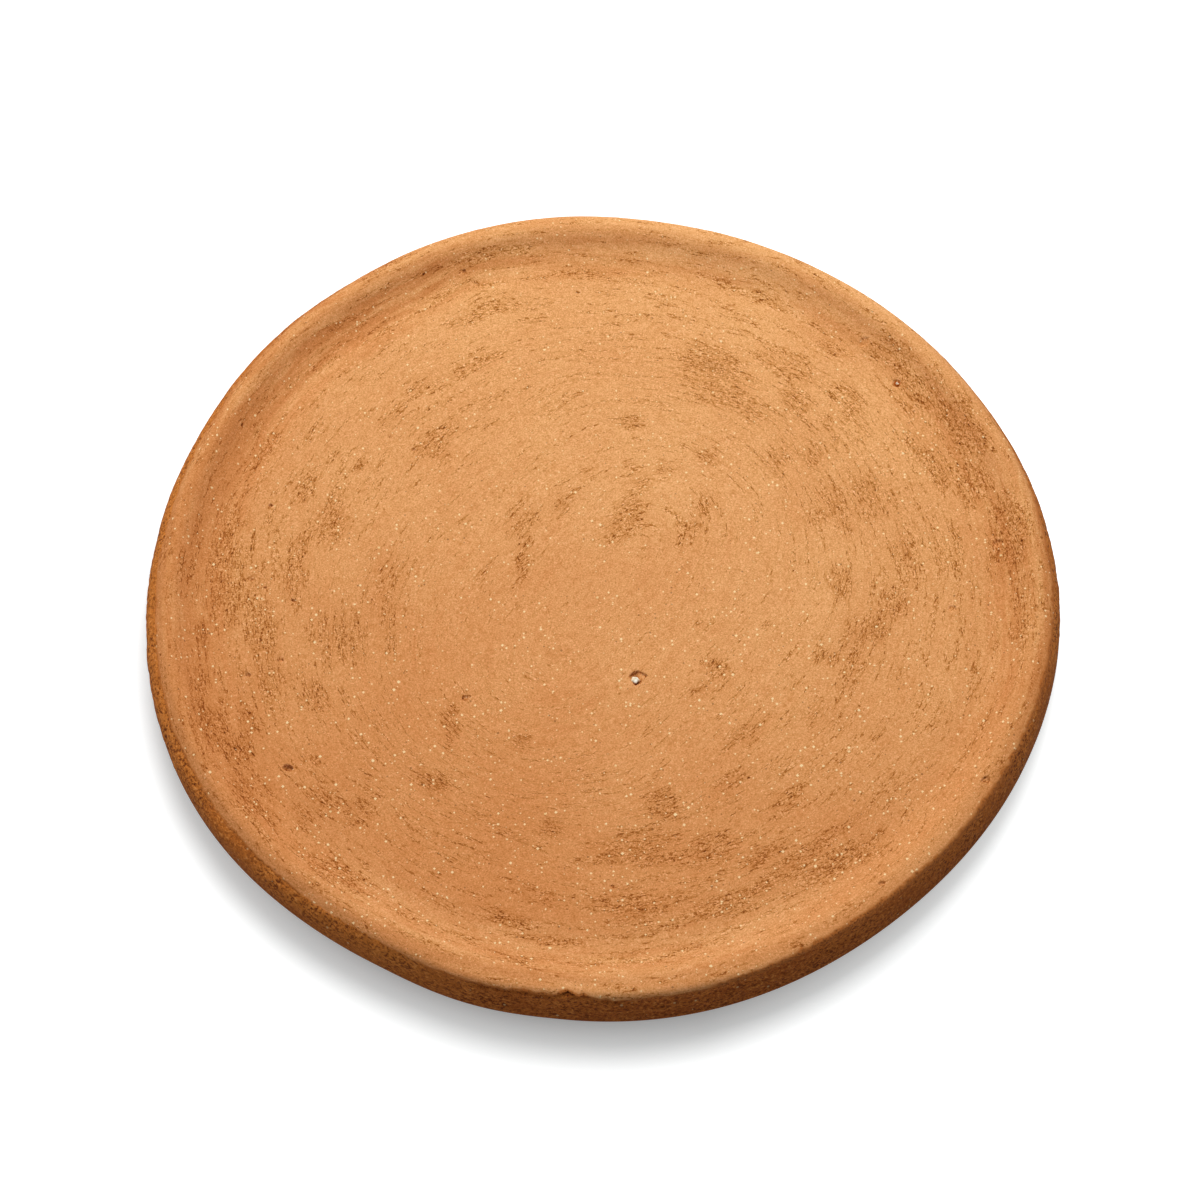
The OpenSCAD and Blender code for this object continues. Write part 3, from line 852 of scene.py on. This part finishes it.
# finer faces where a pit will be
r, azimuth, z = readPolar(slipCoat)
about = pitDip(r, azimuth)[2]
bpy.ops.object.mode_set(mode="EDIT")
bpy.ops.mesh.select_all(action="DESELECT")
bpy.ops.mesh.select_mode(type="VERT")
bpy.ops.object.mode_set(mode="OBJECT")
slipCoat.data.vertices.foreach_set("select", about & (topWays(r, z)[2] < slipThick / 2))
bpy.ops.object.mode_set(mode="EDIT")
bpy.ops.mesh.subdivide(number_cuts=slip["pitCuts"])
bpy.ops.object.mode_set(mode="OBJECT")
r, azimuth, z = readPolar(slipCoat)
normalR, normalZ, depth, path = topWays(r, z)
onTop = depth < slipThick / 2
relief, bare, dip = wipedRelief(r, azimuth, path)
across = wipeAcross(r, azimuth, path)
# past the crest the coat is drawn out or in to its ragged edge
edge, torn = edgeAt(azimuth)
reach = (path - crestPath) / slipLength * edge
overCrest = reach > tiny
nearEdge = smooth(edge - slip["edgeSpan"], edge, reach) * overCrest
edgeR, edgeZ, edgeNormalR, edgeNormalZ = outerWay(np.maximum(reach, 0))
depth = np.where(onTop, slip["feather"] * nearEdge, slipFloor(reach, edge, torn))
normalR, normalZ = np.where(overCrest, edgeNormalR, normalR), np.where(overCrest, edgeNormalZ, normalZ)
r = np.where(overCrest, edgeR - depth * normalR, r)
z = np.where(overCrest, edgeZ - depth * normalZ, z)
rise = np.where(onTop, relief * (1 - slip["calm"] * nearEdge), -pitForm["inSlip"] * dip)
rise += shoulderRise(np.where(overCrest, reach, path - crestPath), azimuth)
r, z = r + rise * normalR, z + rise * normalZ
r, z = unevenHand(np.abs(r), azimuth, z)
writePolar(slipCoat, r, azimuth, z)
storeValue(slipCoat, "bare", bare)
storeValue(slipCoat, "across", across)
# share of painted shade and light on the cove and lip slopes
storeValue(slipCoat, "slopeShading", slopeShadingShare(r, azimuth))
worn = smooth(edge - tableAt(wornReach, azimuth), edge, reach) * (1 - tableAt(smearedAndLit, azimuth))
storeValue(slipCoat, "worn", worn)
finishPiece(slipCoat, slipMaterial, "slip_coat")

# Temper grains: one angular grain, copied over the face and cove and seated in the relief. Sizes are in
# mm, and how far it stands proud, how narrow, flat and uneven it is are shares of its size.
temper = {"count": 460, "least": 0.35, "most": 1.2, "fewLarge": 3, "proud": 0.14, "narrow": 0.82, "flat": 0.5,
          "uneven": 0.09, "seed": 11, "reach": 134.0}
draw = random.Random(temper["seed"])
bpy.ops.mesh.primitive_ico_sphere_add(subdivisions=1, radius=0.5 * mm)
firstGrain = bpy.context.object
editAll()
bpy.ops.transform.resize(value=(1, temper["narrow"], temper["flat"]))
bpy.ops.transform.vertex_random(offset=temper["uneven"] * mm, seed=temper["seed"])
bpy.ops.mesh.normals_make_consistent(inside=False)
bpy.ops.object.mode_set(mode="OBJECT")
grainR = np.array([temper["reach"] * math.sqrt(draw.random()) for _ in range(temper["count"])])
grainAzimuth = np.array([draw.uniform(0, 360) for _ in range(temper["count"])])
grainSize = np.array([temper["least"] + (temper["most"] - temper["least"]) * draw.random()**temper["fewLarge"]
                      for _ in range(temper["count"])])
grainTurn = [draw.uniform(0, math.tau) for _ in range(temper["count"])]
clear = np.flatnonzero((pitDip(grainR, grainAzimuth)[0] == 0) & (grainR < lipFoot))
grainR, grainAzimuth, grainSize = grainR[clear], grainAzimuth[clear], grainSize[clear]
grainZ = topHeight(grainR)
normalR, normalZ, _, path = topWays(grainR, grainZ)
relief = wipedRelief(grainR, grainAzimuth, path)[0]
sink = relief + (temper["proud"] - temper["flat"] / 2) * grainSize
r, z = unevenHand(grainR + sink * normalR, grainAzimuth, grainZ + sink * normalZ)
copies = []
for i, source in enumerate(clear):
    spot = Vector((*toFlat(r[i], grainAzimuth[i]), z[i])) * mm
    up = Vector((*toFlat(normalR[i], grainAzimuth[i]), normalZ[i]))
    lean = up.to_track_quat("Z", "Y").to_matrix().to_4x4()
    turned = lean @ Matrix.Rotation(grainTurn[source], 4, "Z") @ Matrix.Scale(grainSize[i], 4)
    mesh = firstGrain.data.copy()
    mesh.transform(Matrix.Translation(spot) @ turned)
    grain = bpy.data.objects.new("temper_grain", mesh)
    scene.collection.objects.link(grain)
    copies.append(grain)
bpy.data.objects.remove(firstGrain)
temperGrains = joinPieces(copies, "temper_grain_scatter")
finishPiece(temperGrains, makeMineral("crushed_calcite", crushedCalcite), "temper_grains")

# Burst lime: a broken lump in each of the two pits that hold it. Size, height over the pit's floor and
# distance to the front are shares of the pit's width, and the roughness is in mm.
lime = {"size": 0.5, "raised": 0.24, "aside": 0.22, "narrow": 0.85, "flat": 0.7, "cuts": 3,
        "rough": 0.6, "roughSize": 0.9}
lumps = []
for distance, around, width, deep in limePits:
    x, y = toFlat(distance, around)
    height = float(topHeight(np.array([distance]))[0]) - width * deep + lime["raised"] * width
    spot = Vector((x, y - lime["aside"] * width, height)) * mm
    radius = lime["size"] * width / 2 * mm
    bpy.ops.mesh.primitive_ico_sphere_add(subdivisions=lime["cuts"], radius=radius, location=spot)
    lump = bpy.context.object
    editAll()
    bpy.ops.transform.resize(value=(1, lime["narrow"], lime["flat"]))
    bpy.ops.object.mode_set(mode="OBJECT")
    bpy.ops.object.transform_apply()
    for vertex in lump.data.vertices:
        way = (vertex.co - spot).normalized()
        vertex.co += way * lime["rough"] * mm * noise.noise(vertex.co / (lime["roughSize"] * mm))
    bpy.ops.object.shade_smooth()
    lumps.append(lump)
limeNodules = joinPieces(lumps, "lime_nodule_lumps")
bpy.ops.object.transform_apply()
finishPiece(limeNodules, makeMineral("burnt_lime", burntLime), "lime_nodules")

# Camera at the photograph's angle
shot = {"aim": (-0.1, -5.6, 14.0), "elevation": 60.5, "distance": 800.0, "lens": 78.0, "sensor": 36.0}
tilt = math.radians(shot["elevation"])
back = Vector((0, -math.cos(tilt), math.sin(tilt)))
cameraData = bpy.data.cameras.new("camera")
cameraData.lens, cameraData.sensor_width = shot["lens"], shot["sensor"]
camera = bpy.data.objects.new("camera", cameraData)
camera.location = (Vector(shot["aim"]) + back * shot["distance"]) * mm
camera.rotation_mode = "QUATERNION"
camera.rotation_quaternion = (-back).to_track_quat("-Z", "Y")
scene.collection.objects.link(camera)
scene.camera = camera

# One broad soft lamp behind and above, a weak one low on the left, and an even pale room
lamps = {
    "soft_lamp": {"azimuth": 86.0, "elevation": 62.0, "distance": 1000.0, "size": 750.0, "power": 9.8},
    "side_lamp": {"azimuth": 175.0, "elevation": 30.0, "distance": 1000.0, "size": 700.0, "power": 1.5},
}
room = {"fill": 0.17}
for name, lamp in lamps.items():
    turn, tilt = math.radians(lamp["azimuth"]), math.radians(lamp["elevation"])
    toLamp = Vector((math.cos(turn) * math.cos(tilt), math.sin(turn) * math.cos(tilt), math.sin(tilt)))
    lampData = bpy.data.lights.new(name, "AREA")
    lampData.shape = "DISK"
    lampData.size = lamp["size"] * mm
    lampData.energy = lamp["power"]
    lampPiece = bpy.data.objects.new(name, lampData)
    lampPiece.location = toLamp * lamp["distance"] * mm
    lampPiece.rotation_mode = "QUATERNION"
    lampPiece.rotation_quaternion = toLamp.to_track_quat("Z", "Y")
    scene.collection.objects.link(lampPiece)

world = bpy.data.worlds.new("pale_room")
scene.world = world
world.use_nodes = True
tree = world.node_tree
background = tree.nodes["Background"]
seen = addNode(tree, "LightPath", {})
rays = seen.outputs["Is Camera Ray"], seen.outputs["Is Transmission Ray"]
direct = addNode(tree, "Math", mathOf("MAXIMUM", *rays))
level = addNode(tree, "MapRange", {"Value": direct, "To Min": room["fill"], "To Max": 1})
background.inputs["Color"].default_value = (1, 1, 1, 1)
link(tree, level, background.inputs["Strength"])

# White floor: some light of its own in the picture keeps it white, less of it near the plate, where the
# shadow lies, and more to the right and far away
floorLook = {
    "colour": "#E6E6E6", "glowColour": (0.97, 1, 1, 1), "width": 6.0,  # m
    # by the distance from the axis or to the right: from and to in mm, glow at both
    "glows": (("away", 131, 157, 0.14, 0.72), ("away", 350, 1500, 0, 0.3), ("right", 30, 135, 0, 0.28)),
}
bpy.ops.mesh.primitive_plane_add(size=floorLook["width"], location=(0, 0, 0))
floor = bpy.context.object
floor.name = "floor"
floorMaterial, tree, shader = newMaterial("white_paper", 1.0)
shader.inputs["Base Color"].default_value = toLinear(floorLook["colour"])
shader.inputs["Specular IOR Level"].default_value = 0
shader.inputs["Emission Color"].default_value = floorLook["glowColour"]
place = addNode(tree, "TexCoord", {}).outputs["Object"]
ways = {"away": addNode(tree, "VectorMath", mathOf("LENGTH", place)).outputs["Value"],
        "right": addNode(tree, "SeparateXYZ", {0: place}).outputs["X"]}
glow = 0
for way, start, end, least, most in floorLook["glows"]:
    more = addNode(tree, "MapRange", {"Value": ways[way], "From Min": start * mm, "From Max": end * mm,
                                      "To Min": least, "To Max": most})
    glow = addNode(tree, "Math", mathOf("ADD", glow, more))
seen = addNode(tree, "LightPath", {})
glow = addNode(tree, "Math", mathOf("MULTIPLY", glow, seen.outputs["Is Camera Ray"]))
link(tree, glow, shader.inputs["Emission Strength"])
floor.data.materials.append(floorMaterial)

scene.view_settings.view_transform = "Standard"
print("camera, lamp and floor set")
